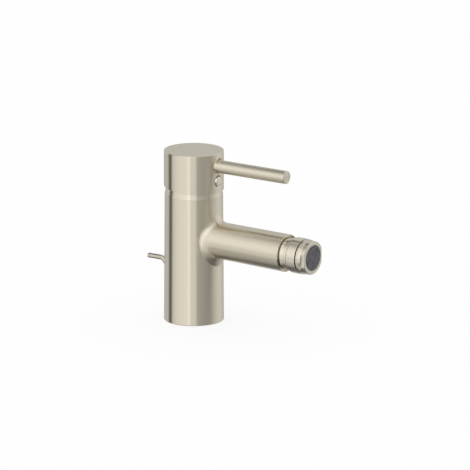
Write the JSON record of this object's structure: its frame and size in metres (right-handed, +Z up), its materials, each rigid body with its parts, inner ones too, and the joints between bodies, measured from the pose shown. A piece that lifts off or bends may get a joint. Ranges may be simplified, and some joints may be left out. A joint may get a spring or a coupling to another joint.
{
  "type": "bidet mixer",
  "caption": "Column bidet mixer with a tilting cap handle and pin lever, straight spout with a ball-jointed aerator nozzle, and a bent waste lift rod at the back.",
  "frame": {"origin": "centre of the base's underside, on the column's axis", "axes": "+Z up along the column, -Y forwards along the spout and the lever, +X to the right as seen by someone in front of the spout who faces the column"},
  "size_m": [0.048, 0.1609, 0.1397],
  "materials": {
    "brushed_nickel": "warm brushed nickel, fine grain round the column",
    "polished_nickel": "smooth satin nickel on the rings and the plug",
    "brass": "machined brass",
    "steel": "plain machined steel",
    "black_rubber": "matt rubber",
    "white_plastic": "white acetal",
    "grey_plastic": "dark grey acetal",
    "blue_plastic": "blue acetal",
    "red_plastic": "red acetal",
    "ceramic": "polished alumina",
    "dark_face": "dark grey plastic of the aerator's face"
  },
  "bodies": {
    "root": {"body": "brushed_nickel", "base_gasket": "black_rubber", "rod_bush": "white_plastic", "collar_ring": "brushed_nickel", "cartridge_nut": "brass", "cartridge_housing": "white_plastic", "cartridge_base": "blue_plastic", "port_seals": "black_rubber", "fixed_disc": "ceramic", "spout_nipple": "polished_nickel", "nipple_oring": "black_rubber", "seat_oring": "black_rubber", "socket_nut": "polished_nickel"},
    "turret": {"turret": "grey_plastic", "turret_oring": "black_rubber", "limit_ring": "red_plastic", "pivot_pin": "steel"},
    "handle": {"stem": "steel", "handle_cap": "brushed_nickel", "lever_pin": "brushed_nickel", "lever_stud": "steel", "set_screw": "steel", "index_plug": "polished_nickel"},
    "disc": {"moving_disc": "ceramic", "disc_carrier": "red_plastic"},
    "nozzle_seat": {"ball_seat": "white_plastic"},
    "nozzle": {"swivel_ball": "grey_plastic", "aerator_housing": "polished_nickel", "aerator_gasket": "black_rubber", "aerator_body": "dark_face", "aerator_screens": "steel", "aerator_face": "dark_face"},
    "lift_rod": {"lift_rod": "polished_nickel"}
  },
  "joints": [
    {"name": "handle_turn", "type": "hinge", "parent": "root", "child": "turret", "pos_m": [0, 0, 0.103], "axis": [0, 0, 1], "range_deg": [-50, 50]},
    {"name": "handle_tilt", "type": "hinge", "parent": "turret", "child": "handle", "pos_m": [0, 0, 0.103], "axis": [-1, 0, 0], "range_deg": [0, 20]},
    {"name": "disc_slide", "type": "slide", "parent": "turret", "child": "disc", "axis": [0, -1, 0], "range_m": [0, 0.0034]},
    {"name": "nozzle_turn", "type": "hinge", "parent": "root", "child": "nozzle_seat", "pos_m": [0, -0.09958, 0.06738], "axis": [0, -0.9998, -0.0183], "continuous": true},
    {"name": "nozzle_tilt", "type": "hinge", "parent": "nozzle_seat", "child": "nozzle", "pos_m": [0, -0.09958, 0.06738], "axis": [1, 0, 0], "range_deg": [-14, 14]},
    {"name": "rod_lift", "type": "slide", "parent": "root", "child": "lift_rod", "axis": [0, 0, 1], "range_m": [0, 0.012]}
  ],
  "couplings": [
    {"joint": "disc_slide", "follows": "handle_tilt", "m_per_rad": 0.0095}
  ]
}
